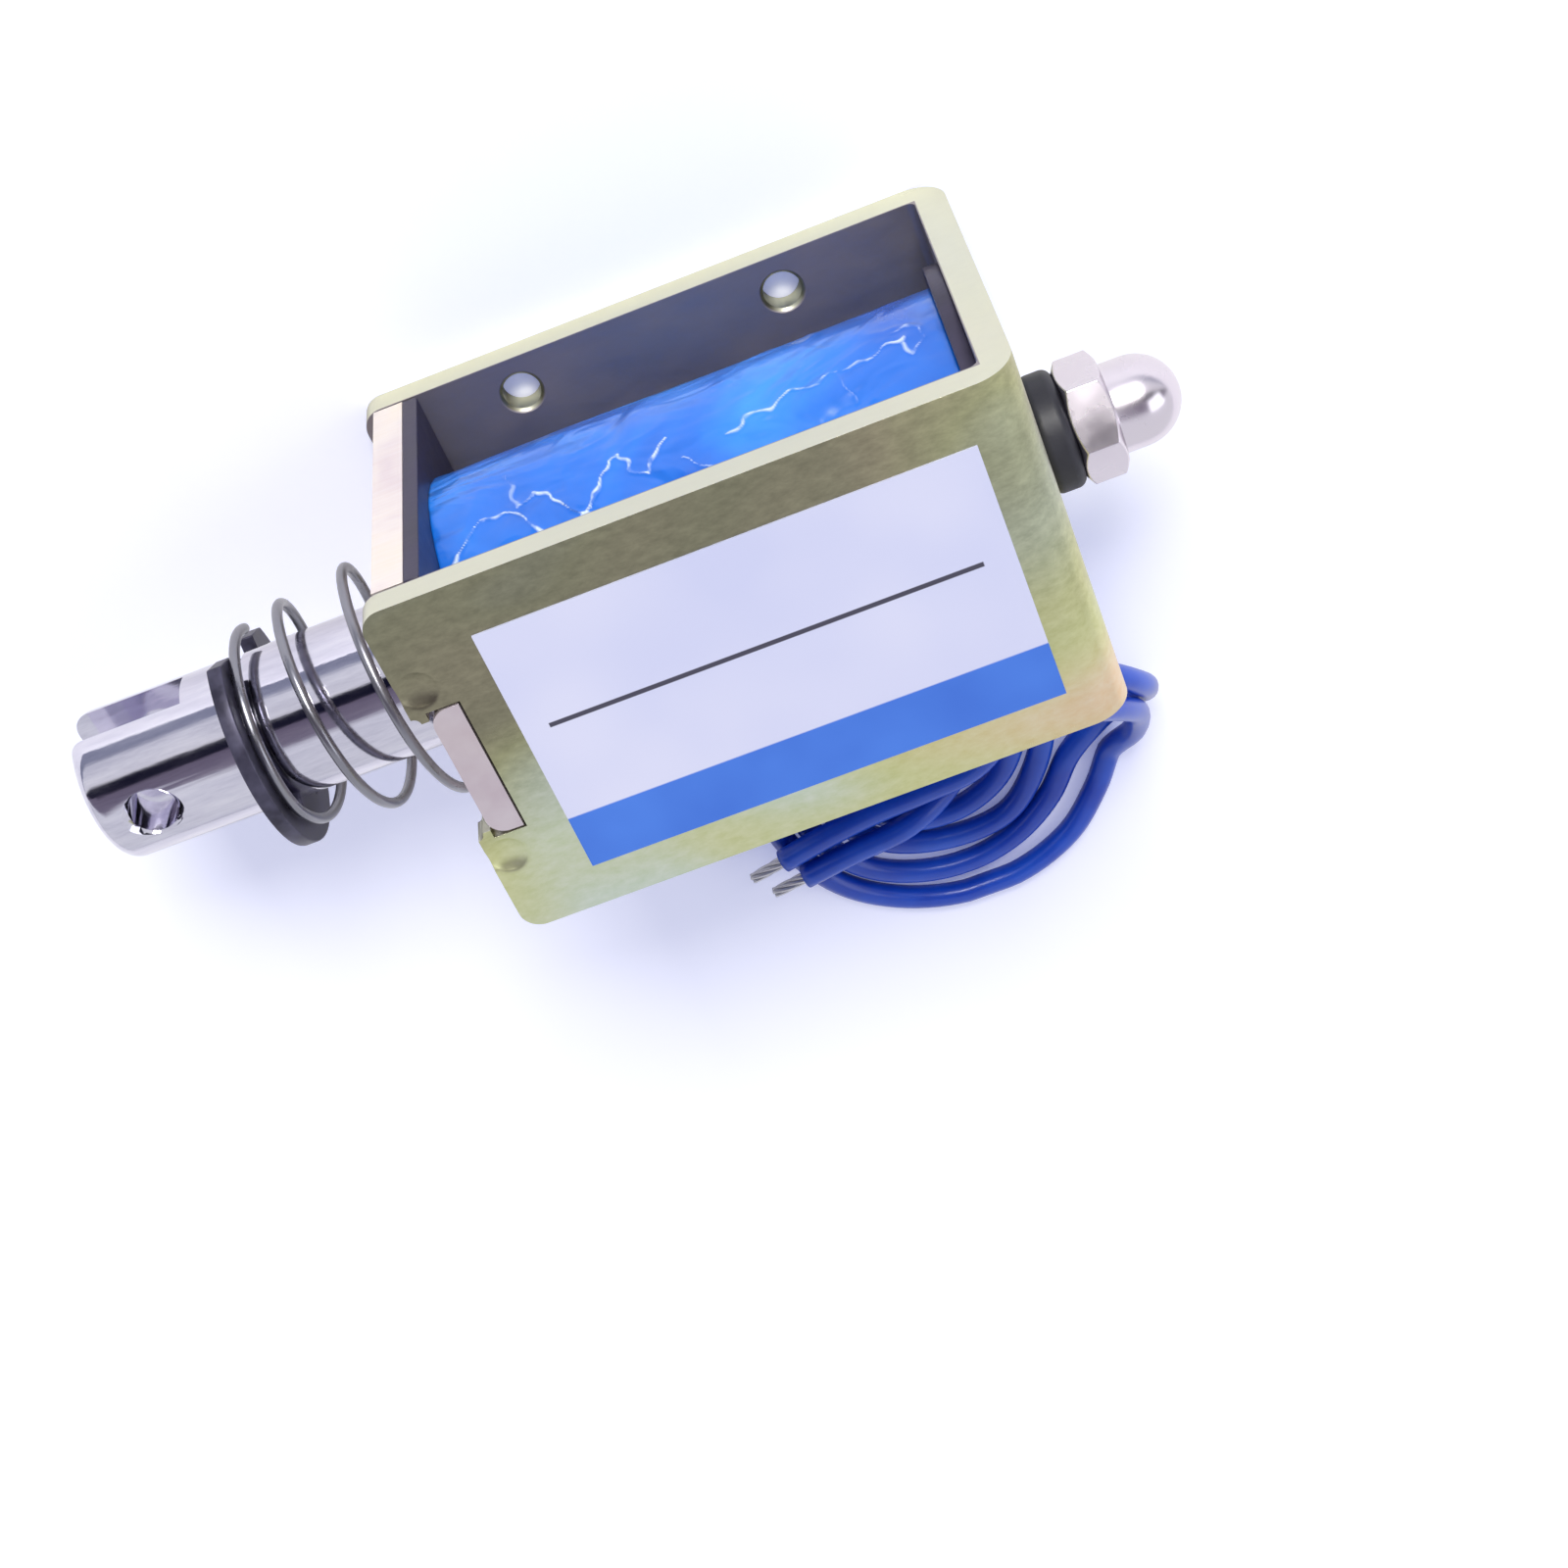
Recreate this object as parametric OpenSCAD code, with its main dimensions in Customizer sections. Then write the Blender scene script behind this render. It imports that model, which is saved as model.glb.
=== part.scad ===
// Open-frame push-pull solenoid: a U-shaped steel frame closed by a staked end
// plate, a taped coil on a moulded bobbin, and a spring-returned plunger with a
// push rod. Lies on its mounting face, +X along the push direction, +Z up.
// The origin is at the centre of the four tapped holes in the mounting face.

/* [Frame] */
// Length of the frame along the plunger axis
frame_l = 40; // [36:0.5:48]
// Width of the frame strip
frame_w = 25; // [24:0.5:30]
// Height over both arms of the frame
frame_h = 26.5; // [26:0.5:30]
// Thickness of the frame's steel strip
sheet_t = 2; // [1.6:0.1:2.2]
// Inner radius of the two bends
bend_r = 0.6; // [0.4:0.1:1]
// Corner radius at the open ends of the arms
arm_corner_r = 1.4; // [0.5:0.1:2]

/* [Mounting holes] */
// Distance from the open end to the first pair of holes
hole_inset = 10.3; // [9:0.1:12]
// Spacing of the holes along the frame
hole_dx = 18; // [15:0.5:20]
// Distance of the holes from the strip's edges
hole_edge = 2.5; // [2:0.1:3.5]
// Bore of the M3 tapped holes
hole_d = 2.5; // [2:0.1:3]
// Countersink of the tapped holes
hole_chamfer = 0.25; // [0.1:0.05:0.4]

/* [End plate] */
// Thickness of the end plate
plate_t = 2; // [1.6:0.1:2.5]
// Depth of the end plate below the open end of the arms
plate_inset = 1; // [0.6:0.1:1.5]
// Width of the notches that take the plate's tabs
notch_w = 10; // [8:0.5:12]
// Play of the tabs in their notches
tab_gap = 0.15; // [0.1:0.05:0.3]
// Corner radius of the tabs
tab_corner_r = 1.2; // [0.5:0.1:1.5]
// Reach of the staked lips over the tabs
stake_reach = 0.6; // [0.3:0.1:0.9]
// Radius of the staking dents beside the notches
stake_dent_r = 2.6; // [2:0.1:3]
// Depth of the staking dents
stake_dent_t = 0.45; // [0.2:0.05:0.6]

/* [Coil] */
// Thickness of the bobbin flanges
flange_t = 1; // [0.8:0.1:1.5]
// Diameter of the round bobbin flange at the closed end
flange_d = 24.4; // [23.5:0.1:24.8]
// Wall of the bobbin's tube
bobbin_wall = 0.9; // [0.7:0.1:1.2]
// Gap between the taped coil and the frame's arms
coil_gap = 0.25; // [0.2:0.05:1]
// Thickness of the wrapped tape
tape_t = 0.2; // [0.1:0.05:0.2]

/* [Plunger] */
// Diameter of the plunger
plunger_d = 10; // [9:0.1:10.5]
// Reach of the plunger beyond the open end of the frame
plunger_reach = 23.8; // [23:0.1:26]
// Length of the plunger's cone and of the seat it enters
nose_l = 2.5; // [1.5:0.1:3]
// Diameter of the plunger's flat nose
nose_d = 6; // [5.5:0.1:7]
// Width of the slot in the plunger's end
slot_w = 3; // [2:0.1:3.5]
// Depth of the slot in the plunger's end
slot_l = 8; // [7:0.1:9]
// Diameter of the cross pin hole
pin_d = 3.2; // [2.5:0.1:3.5]
// Distance of the pin hole from the plunger's end
pin_inset = 3.9; // [3.5:0.1:4.5]
// Countersink of the pin hole
pin_chamfer = 0.3; // [0.2:0.05:0.5]
// Edge radius at the plunger's outer end
end_r = 1.2; // [0.5:0.1:1.5]
// Travel of the plunger
stroke = 10; // [8:0.5:10]
// Gap left between plunger and core at the end of the travel
stop_gap = 0.4; // [0.3:0.1:0.6]
// Radial clearance of the plunger in its guide tube
plunger_gap = 0.08; // [0.05:0.01:0.1]

/* [Guide tube and core] */
// Wall of the brass guide tube
tube_wall = 0.4; // [0.3:0.05:0.5]
// Length of the fixed core inside the coil
core_l = 13; // [10:0.5:15]
// Diameter of the core's riveted neck
neck_d = 7; // [6.5:0.1:8]
// Radial clearance of the seats between fixed pieces
seat_gap = 0.05; // [0.02:0.01:0.08]

/* [Push rod and nut] */
// Diameter of the push rod
rod_d = 4; // [3.5:0.1:4.5]
// Radial clearance of the push rod in the core
rod_gap = 0.35; // [0.3:0.05:0.5]
// Depth of the rod in the plunger
rod_seat_l = 6; // [4:0.5:8]
// Outer diameter of the rubber ring
ring_d = 7.7; // [7.5:0.1:9]
// Thickness of the rubber ring
ring_t = 2.2; // [1.8:0.1:2.6]
// Hexagon width across flats
nut_af = 7; // [6.5:0.1:8]
// Height of the hexagon
nut_h = 2.8; // [2.4:0.1:3.4]
// Diameter of the nut's dome
dome_d = 5.8; // [5.5:0.1:6.4]
// Straight length below the dome
dome_l = 1.5; // [1:0.1:2]
// Wall between the rod's end and the dome
dome_wall = 1.2; // [0.8:0.1:1.6]

/* [Clip and spring] */
// Outer diameter of the retaining clip
clip_d = 16; // [15:0.1:17]
// Thickness of the retaining clip
clip_t = 1; // [0.8:0.1:1.2]
// Distance of the clip's spring side from the open end of the frame
clip_reach = 11.6; // [11.2:0.1:12]
// Diameter of the groove for the clip
groove_d = 8; // [7.5:0.1:8.2]
// Width of the clip's rim
clip_rim = 2.1; // [1.8:0.1:2.4]
// Width of the clip's mouth
clip_mouth = 6.5; // [6:0.1:7]
// Distance from the clip's centre to its straight open side
clip_front = 5.5; // [4.8:0.1:6]
// Direction of the clip's opening, from +Y towards -Z
clip_turn = 22; // [0:1:60]
// Diameter of the spring wire
wire_d = 0.7; // [0.5:0.05:0.8]
// Coil radius of the spring at the clip
spring_r1 = 6.4; // [6.2:0.1:7]
// Coil radius of the spring at the end plate
spring_r2 = 8.6; // [8:0.1:8.7]
// Turns of the spring
spring_turns = 3.3; // [2.5:0.1:3.4]

/* [Label] */
// Length of the label
label_l = 30.8; // [26:0.1:32]
// Width of the label
label_w = 18.3; // [16:0.1:20]
// Thickness of the label
label_t = 0.12; // [0.1:0.01:0.15]
// Distance of the label from the open end
label_inset = 5.6; // [5.5:0.1:6]
// Offset of the label from the frame's middle line
label_shift = -0.3; // [-0.5:0.1:0.5]

/* [Leads] */
// Diameter of the insulated leads
lead_d = 1.8; // [1.4:0.05:1.8]
// Diameter of the insulated splices where the leads leave the coil
splice_d = 2.4; // [2.2:0.1:2.6]
// Length of the splices
splice_l = 4.2; // [3.5:0.1:4.2]
// Length of a splice that stands out of the tape
splice_out = 1.2; // [0.8:0.1:1.5]
// Distance of the splices from the web's inner face
splice_inset = 3.7; // [3:0.1:4]
// Distance between the two splices
splice_dz = 4; // [3.4:0.1:5]
// Diameter of the bare tinned lead ends
tip_d = 1; // [0.8:0.1:1.2]
// Length of the bare lead ends
tip_l = 2.2; // [1.5:0.1:2.4]

/* [Hidden] */
$fn = 96;
eps = 0.01;

// stations along X
x_open = -(hole_inset + hole_dx / 2);       // open end of the arms
x_back = x_open + frame_l;                  // outer face of the web
x_web = x_back - sheet_t;                   // inner face of the web
x_plate = x_open + plate_inset;             // outer face of the end plate
x_plate_in = x_plate + plate_t;             // inner face of the end plate
x_core = x_web - core_l;                    // face of the fixed core
x_end = x_open - plunger_reach;             // outer end of the plunger
x_nose = x_core + nose_l - stop_gap - stroke; // nose of the plunger at rest
x_clip = x_open - clip_reach;               // spring side of the clip
x_nut = x_back + ring_t;                    // flat side of the cap nut
x_rod_end = x_nut + nut_h + dome_l + dome_d / 2 - dome_wall;
x_splice = x_web - splice_inset;

// across
z_axis = frame_h / 2;
tube_id = plunger_d + 2 * plunger_gap;
tube_od = tube_id + 2 * tube_wall;
tube_seat_d = tube_od + 2 * seat_gap;
bobbin_od = tube_seat_d + 2 * bobbin_wall;
core_d = tube_id - 2 * seat_gap;
hole_dy = frame_w - 2 * hole_edge;
arm_gap = frame_h - 2 * sheet_t;            // room between the arms
window_h = arm_gap - 2 * tab_gap;           // height of what stands between them
tape_d = arm_gap - 2 * coil_gap;
winding_d = tape_d - 2 * tape_t;
tip_seat = 0.02;

steel = "#c9c48d";
black = "#26242c";
zinc = "#d8c4bd";
chrome = "#c8c8d0";
blue = "#2458d6";

// places a profile or a revolved solid on the plunger axis, +Z turned to +X
module on_axis(x) translate([x, 0, z_axis]) rotate([0, 90, 0]) children();

// a round bar on the axis, from x0 to x1
module bar(x0, x1, d) on_axis(x0) cylinder(d = d, h = x1 - x0);

// a plate cut from [[y, z]] outlines, from x0 to x1
module slab(x0, x1) translate([x0, 0, 0]) rotate([90, 0, 90])
    linear_extrude(x1 - x0) children();

// square with one rounded corner pair, towards -X
module arm_outline(l, w, r) {
    difference() {
        translate([0, -w / 2]) square([l, w]);
        for (s = [-1, 1]) scale([1, s]) translate([0, -w / 2]) difference() {
            translate([-eps, -eps]) square([r + eps, r + eps]);
            translate([r, r]) circle(r);
        }
    }
}

// side view of the bent strip, arms open towards -X
module strip_profile() {
    ro = bend_r + sheet_t;
    difference() {
        union() {
            square([frame_l - ro, frame_h]);
            translate([0, ro]) square([frame_l, frame_h - 2 * ro]);
            for (z = [ro, frame_h - ro]) translate([frame_l - ro, z]) circle(ro);
        }
        translate([-1, sheet_t])
            square([frame_l - sheet_t - bend_r + 1, frame_h - 2 * sheet_t]);
        translate([-1, sheet_t + bend_r])
            square([frame_l - sheet_t + 1, frame_h - 2 * (sheet_t + bend_r)]);
        for (z = [sheet_t + bend_r, frame_h - sheet_t - bend_r])
            translate([frame_l - sheet_t - bend_r, z]) circle(bend_r);
    }
}

// the strip's plan view: rounded ends, notches and staked lips
module strip_plan() {
    notch_l = plate_inset + plate_t + tab_gap;
    lip_l = plate_inset - eps;
    difference() {
        arm_outline(frame_l, frame_w, arm_corner_r);
        translate([-1, -notch_w / 2]) square([notch_l + 1, notch_w]);
    }
    for (s = [-1, 1]) scale([1, s]) translate([0, notch_w / 2 - stake_reach])
        difference() {
            square([lip_l, stake_reach + 1]);
            circle(r = min(stake_reach, lip_l) * 0.8);
        }
}

module frame() color(steel) difference() {
    intersection() {
        translate([x_open, frame_w / 2, 0]) rotate([90, 0, 0])
            linear_extrude(frame_w) strip_profile();
        translate([x_open, 0, -1]) linear_extrude(frame_h + 2) strip_plan();
    }
    // tapped mounting holes through the lower arm
    for (x = [-1, 1], y = [-1, 1]) translate([x * hole_dx / 2, y * hole_dy / 2, 0]) {
        translate([0, 0, -1]) cylinder(d = hole_d, h = sheet_t + 2);
        translate([0, 0, sheet_t - hole_chamfer])
            cylinder(d1 = hole_d, d2 = hole_d + 2 * hole_chamfer + 2 * eps,
                     h = hole_chamfer + eps);
        translate([0, 0, -eps])
            cylinder(d1 = hole_d + 2 * hole_chamfer + 2 * eps, d2 = hole_d,
                     h = hole_chamfer + eps);
    }
    // bore for the core's neck
    on_axis(x_web - 1) cylinder(d = neck_d + 2 * seat_gap, h = sheet_t + 2);
    // dents left by staking the arms over the tabs
    for (y = [-1, 1], side = [0, 1])
        translate([x_open + plate_inset * 1.2, y * (notch_w / 2 + stake_dent_r * 0.62),
                   side ? frame_h : 0])
            translate([0, 0, (side ? 1 : -1) * (stake_dent_r - stake_dent_t)])
                sphere(r = stake_dent_r);
}

// the end plate fills the strip's width and reaches through both notches
module end_plate() color(zinc) difference() {
    union() {
        slab(x_plate, x_plate_in) translate([-frame_w / 2, sheet_t + tab_gap])
            square([frame_w, window_h]);
        for (side = [0, 1]) translate([0, 0, side ? frame_h - sheet_t - 1 : 0])
            linear_extrude(sheet_t + 1) translate([x_plate, 0])
                arm_outline(plate_t, notch_w - 2 * tab_gap, tab_corner_r);
    }
    on_axis(x_plate - 1) cylinder(d = tube_seat_d, h = plate_t + 2);
    on_axis(x_plate - eps) cylinder(d1 = tube_seat_d + 0.6, d2 = tube_seat_d, h = 0.3);
}

// the room at the web, with its corners cut back to clear the two bends
module corner_clear() translate([0, frame_w / 2, 0]) rotate([90, 0, 0])
    linear_extrude(frame_w) intersection_for(s = [0, 1])
        translate([0, s * frame_h]) mirror([0, s]) polygon([
            [x_web - flange_t - 1, sheet_t + tab_gap], [x_web - bend_r, sheet_t + tab_gap],
            [x_web, sheet_t + tab_gap + bend_r], [x_web, frame_h],
            [x_web - flange_t - 1, frame_h]]);

module bobbin() color(black) difference() {
    union() {
        slab(x_plate_in, x_plate_in + flange_t)
            translate([-frame_w / 2, sheet_t + tab_gap]) square([frame_w, window_h]);
        intersection() {
            bar(x_web - flange_t, x_web, flange_d);
            corner_clear();
        }
        bar(x_plate_in, x_web, bobbin_od);
    }
    on_axis(x_plate_in - 1) cylinder(d = tube_seat_d, h = x_web - x_plate_in + 2);
}

// pockets where the leads join the winding and come out through the tape
module splice_pockets(gap) for (s = [-1, 1])
    translate([x_splice, -tape_d / 2 - splice_out + splice_l + gap,
               z_axis + s * splice_dz / 2])
        rotate([90, 0, 0]) cylinder(d = splice_d + 2 * gap, h = splice_l + 2);

module coil_sleeve(d_in, d_out) difference() {
    on_axis(x_plate_in + flange_t) difference() {
        cylinder(d = d_out, h = x_web - x_plate_in - 2 * flange_t);
        translate([0, 0, -1]) cylinder(d = d_in, h = frame_l);
    }
    splice_pockets(seat_gap);
}

module coil_winding() color("#b5673a") coil_sleeve(bobbin_od, winding_d);
module coil_tape() color(blue) coil_sleeve(winding_d, tape_d);

module guide_tube() color("#c9a64b") on_axis(x_plate) difference() {
    cylinder(d = tube_od, h = x_web - x_plate);
    translate([0, 0, -1]) cylinder(d = tube_id, h = frame_l + 2);
}

// fixed pole piece: a cone seat at the front, a riveted neck through the web
module fixed_core() color("#b9b9bd") on_axis(x_core) difference() {
    union() {
        cylinder(d = core_d, h = core_l);
        cylinder(d = neck_d, h = core_l + sheet_t);
    }
    translate([0, 0, -1]) cylinder(d = rod_d + 2 * rod_gap, h = core_l + sheet_t + 2);
    translate([0, 0, -eps])
        cylinder(d1 = plunger_d - 2 * seat_gap, d2 = nose_d, h = nose_l + eps);
}

module plunger() color(chrome) difference() {
    on_axis(x_end) rotate_extrude() {
        l = x_nose - x_end;
        r = plunger_d / 2;
        difference() {
            polygon([[0, 0], [r, 0], [r, l - nose_l], [nose_d / 2, l], [0, l]]);
            translate([r - end_r, 0]) difference() {
                translate([0, -eps]) square([end_r + eps, end_r + eps]);
                translate([0, end_r]) circle(end_r);
            }
            translate([groove_d / 2, x_clip - x_end - clip_t - seat_gap])
                square([r, clip_t + seat_gap]);
        }
    }
    // slot for a link, open to the outer end
    translate([x_end - 1, -plunger_d, z_axis - slot_w / 2])
        cube([slot_l + 1, 2 * plunger_d, slot_w]);
    // cross hole for the link's pin
    translate([x_end + pin_inset, 0, 0]) {
        translate([0, 0, z_axis - plunger_d]) cylinder(d = pin_d, h = 2 * plunger_d);
        for (s = [0, 1]) translate([0, 0, z_axis]) mirror([0, 0, s])
            translate([0, 0, plunger_d / 2 - 1.5 * pin_chamfer])
                cylinder(d1 = pin_d, d2 = pin_d + 6 * pin_chamfer, h = 3 * pin_chamfer);
    }
    // seat for the push rod
    on_axis(x_nose - rod_seat_l) cylinder(d = rod_d, h = rod_seat_l + 1);
}

module push_rod() color(chrome) on_axis(x_nose - rod_seat_l) rotate_extrude() {
    l = x_rod_end - x_nose + rod_seat_l;
    r = rod_d / 2;
    polygon([[0, 0], [r, 0], [r, l - 0.4], [r - 0.4, l], [0, l]]);
}

// open clip: a rim, cut straight across at its open side, with one land opposite
// the mouth and one at each side of it that grip the groove
module retaining_clip() color(black) on_axis(x_clip - clip_t) rotate([0, 0, 90 - clip_turn])
    linear_extrude(clip_t) difference() {
        intersection() {
            circle(d = clip_d);
            translate([-clip_d, -clip_d]) square([clip_d + clip_front, 2 * clip_d]);
        }
        circle(d = groove_d + 2 * seat_gap);
        translate([0, -clip_mouth / 2]) square([clip_d, clip_mouth]);
        // hollows between the lands
        for (s = [-1, 1]) scale([1, s]) intersection() {
            circle(d = clip_d - 2 * clip_rim);
            polygon([[0, 0], [clip_d * cos(68), clip_d * sin(68)], [-clip_d, clip_d],
                     [clip_d * cos(160), clip_d * sin(160)]]);
        }
    }

// conical return spring from the clip to the end plate
spring_x1 = x_clip + wire_d / 2 + tip_seat;
spring_x2 = x_plate - wire_d / 2 - tip_seat;
spring_steps = 30;
spring_start = -31;
closed = 0.4; // turns that lie flat at each end
function spring_at(t) = let (a = spring_start + 360 * spring_turns * t,
        rise = (spring_turns * t - closed) / (spring_turns - 2 * closed),
        r = spring_r1 + (spring_r2 - spring_r1) * t)
    [spring_x1 + (spring_x2 - spring_x1) * min(1, max(0, rise)),
     r * cos(a), z_axis + r * sin(a)];
spring_path = [for (i = [0:floor(spring_steps * spring_turns)])
    spring_at(i / floor(spring_steps * spring_turns))];

function unit(v) = v / norm(v);
function tangent(p, i) = let (n = len(p) - 1)
    i == 0 ? unit(p[1] - p[0]) : i == n ? unit(p[n] - p[n - 1])
           : unit(unit(p[i + 1] - p[i]) + unit(p[i] - p[i - 1]));

// a tube of diameter d and the given number of sides swept along points p;
// up is any direction that the path never runs along
module sweep(p, d, sides, up) {
    n = len(p);
    rings = [for (i = [0:n - 1]) let (t = tangent(p, i), u = unit(cross(t, up)),
            v = cross(u, t))
        for (k = [0:sides - 1]) let (a = 360 * (k + 0.5) / sides)
            p[i] + d / 2 * (cos(a) * u + sin(a) * v)];
    polyhedron(rings, concat(
        [[for (k = [0:sides - 1]) sides - 1 - k]],
        [[for (k = [0:sides - 1]) (n - 1) * sides + k]],
        [for (i = [0:n - 2], k = [0:sides - 1]) let (k2 = (k + 1) % sides)
            [i * sides + k, i * sides + k2, (i + 1) * sides + k2, (i + 1) * sides + k]]
        ), convexity = 10);
}

module return_spring() color("#8d8c93") sweep(spring_path, wire_d, 6, [1, 0, 0]);

module rubber_ring() color(black) on_axis(x_back) rotate_extrude() {
    e = ring_t * 0.3;
    difference() {
        translate([rod_d / 2, 0]) square([(ring_d - rod_d) / 2, ring_t]);
        for (s = [0, 1]) translate([ring_d / 2 - e, s ? ring_t - e : e])
            difference() {
                translate([0, s ? 0 : -e - eps]) square([e + eps, e + eps]);
                circle(e);
            }
    }
}

module cap_nut() color(chrome) on_axis(x_nut) difference() {
    union() {
        // hexagon with its corners turned off on both sides
        intersection() {
            cylinder(r = nut_af / sqrt(3), h = nut_h, $fn = 6);
            rotate_extrude() {
                c = nut_af / sqrt(3) - nut_af / 2 * 0.96;
                r = nut_af / sqrt(3) + eps;
                polygon([[0, 0], [r - c, 0], [r, c * 0.6], [r, nut_h - c * 0.6],
                         [r - c, nut_h], [0, nut_h]]);
            }
        }
        cylinder(d = dome_d, h = nut_h + dome_l);
        translate([0, 0, nut_h + dome_l]) rotate_extrude() intersection() {
            circle(d = dome_d);
            square(dome_d);
        }
    }
    translate([0, 0, -1]) cylinder(d = rod_d, h = x_rod_end - x_nut + 1);
}

module label() color("#dcdcf2")
    translate([x_open + label_inset, label_shift - label_w / 2, frame_h])
        cube([label_l, label_w, label_t]);

// insulated solder splices, half buried in the coil
module splice(s) color("#e8e6de")
    translate([x_splice, -tape_d / 2 - splice_out + splice_l, z_axis + s * splice_dz / 2])
        rotate([90, 0, 0]) cylinder(d = splice_d, h = splice_l);
module lead_splice_a() splice(-1);
module lead_splice_b() splice(1);

// routes of the two leads: out of the coil, down to the resting surface, twice
// round in a loose coil there, then over its near side to their cut ends
exit_y = -tape_d / 2 - splice_out;
floor_z = lead_d / 2 + 0.05;
over_z = floor_z + lead_d + 0.35;
route_a = [
    [x_splice, exit_y, z_axis - splice_dz / 2],
    [x_splice, exit_y - 2.6, z_axis - splice_dz / 2], [16.9, -18.4, 10.9],
    [20, -21.4, 9.7], [22.1, -24.8, 7.4], [22.7, -28, 4.1],
    [21.5, -30.1, 1.4], [18.9, -31.5, floor_z], [16, -33.6, floor_z],
    [13.6, -36.6, floor_z], [10.4, -38.9, floor_z], [6.6, -39.9, floor_z],
    [2.7, -39.4, floor_z], [-0.8, -37.5, floor_z], [-3.1, -34.4, floor_z],
    [-4.1, -30.5, floor_z], [-3.7, -26.4, floor_z], [-1.8, -22.7, floor_z],
    [1.4, -20, floor_z], [5.4, -18.9, floor_z], [9.5, -19.7, floor_z],
    [12.4, -22.6, floor_z], [13.3, -26.6, floor_z], [12.6, -30.4, floor_z],
    [10.5, -33.3, floor_z], [7.3, -34.8, floor_z], [3.9, -34.6, floor_z],
    [1.2, -32.6, floor_z], [0.1, -29.2, 1.1], [0.4, -25.5, 2.5],
    [2.4, -22.2, over_z], [5.7, -20.5, over_z], [9.4, -21.1, over_z],
    [12, -24, over_z], [12, -27.8, over_z], [9.3, -30.2, over_z],
    [5.2, -30.7, over_z], [1, -31, over_z], [-3, -31.6, over_z],
    [-6.4, -32.5, 2.9]];
route_b = [
    [x_splice, exit_y, z_axis + splice_dz / 2],
    [x_splice, exit_y - 3, z_axis + splice_dz / 2], [16.3, -18.8, 14.2],
    [18.6, -22.3, 11.8], [20.5, -25.3, 9], [21.5, -28.6, 5.7],
    [20.9, -32, 3], [18.8, -34.6, floor_z], [17, -37.4, floor_z],
    [14, -40.6, floor_z], [9.8, -42.5, floor_z], [5.2, -42.7, floor_z],
    [0.8, -41.3, floor_z], [-3, -38.4, floor_z], [-5.4, -34.2, floor_z],
    [-6.3, -29.5, floor_z], [-5.6, -24.8, floor_z], [-3.2, -20.6, floor_z],
    [0.6, -17.8, floor_z], [5.3, -16.7, floor_z], [10, -17.6, floor_z],
    [13.7, -20.6, floor_z], [15.5, -25, floor_z], [15.2, -29.6, floor_z],
    [13.2, -33.8, floor_z], [10.1, -36.8, floor_z], [5.6, -37.2, floor_z],
    [1.3, -35.7, floor_z], [-1.5, -32.4, floor_z], [-2, -28.3, floor_z],
    [-0.4, -24.4, floor_z], [3.1, -22.1, floor_z], [7.2, -22.4, floor_z],
    [9.9, -25.3, floor_z], [9.8, -29.1, floor_z], [7, -32.1, 1.5],
    [3.2, -33.3, 2.9], [-1.4, -33.8, over_z], [-5.4, -34.6, 2.9]];

module lead(route) color("#2350c4") sweep(route, lead_d, 8, [0, 0, 1]);
module lead_a() lead(route_a);
module lead_b() lead(route_b);

// bare ends, straight on from the last stretch of their lead
module lead_tip(route) {
    n = len(route) - 1;
    t = unit(route[n] - route[n - 1]);
    color("#d0d0d4") translate(route[n])
        rotate([0, acos(t.z), atan2(t.y, t.x)]) cylinder(d = tip_d, h = tip_l);
}
module lead_tip_a() lead_tip(route_a);
module lead_tip_b() lead_tip(route_b);

frame();
end_plate();
bobbin();
coil_winding();
coil_tape();
guide_tube();
fixed_core();
plunger();
push_rod();
retaining_clip();
return_spring();
rubber_ring();
cap_nut();
label();
lead_splice_a();
lead_splice_b();
lead_a();
lead_b();
lead_tip_a();
lead_tip_b();
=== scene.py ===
"""Looks for the push pull solenoid: finishes, leads, taped coil, spring, light and camera. Metres."""

import math

import bmesh
import bpy
from mathutils import Matrix, Vector, noise

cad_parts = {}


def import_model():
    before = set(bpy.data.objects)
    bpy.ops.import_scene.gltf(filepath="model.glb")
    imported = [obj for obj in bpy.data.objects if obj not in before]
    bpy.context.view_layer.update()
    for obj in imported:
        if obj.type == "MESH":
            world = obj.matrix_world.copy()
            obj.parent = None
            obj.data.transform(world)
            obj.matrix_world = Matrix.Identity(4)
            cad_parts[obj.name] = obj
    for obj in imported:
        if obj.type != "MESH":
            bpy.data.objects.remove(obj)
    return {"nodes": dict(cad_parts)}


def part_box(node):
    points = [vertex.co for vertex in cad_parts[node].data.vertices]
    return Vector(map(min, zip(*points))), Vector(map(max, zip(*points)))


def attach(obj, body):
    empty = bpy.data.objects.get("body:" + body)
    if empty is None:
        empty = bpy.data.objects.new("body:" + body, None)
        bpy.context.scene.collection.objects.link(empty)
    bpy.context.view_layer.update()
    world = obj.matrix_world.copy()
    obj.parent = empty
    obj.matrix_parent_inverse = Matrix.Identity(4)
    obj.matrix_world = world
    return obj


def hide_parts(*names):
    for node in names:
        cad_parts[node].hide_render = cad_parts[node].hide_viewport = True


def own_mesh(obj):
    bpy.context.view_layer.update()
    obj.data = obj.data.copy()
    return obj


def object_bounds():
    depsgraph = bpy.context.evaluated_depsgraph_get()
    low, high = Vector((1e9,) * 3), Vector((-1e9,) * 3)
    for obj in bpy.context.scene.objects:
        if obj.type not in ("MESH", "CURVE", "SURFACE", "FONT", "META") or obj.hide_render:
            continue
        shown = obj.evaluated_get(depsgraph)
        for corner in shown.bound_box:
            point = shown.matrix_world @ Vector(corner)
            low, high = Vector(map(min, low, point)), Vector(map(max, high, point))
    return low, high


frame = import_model()
CAD_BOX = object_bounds()
MM = 0.001


# ---------------------------------------------------------------- places taken from the frame

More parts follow.
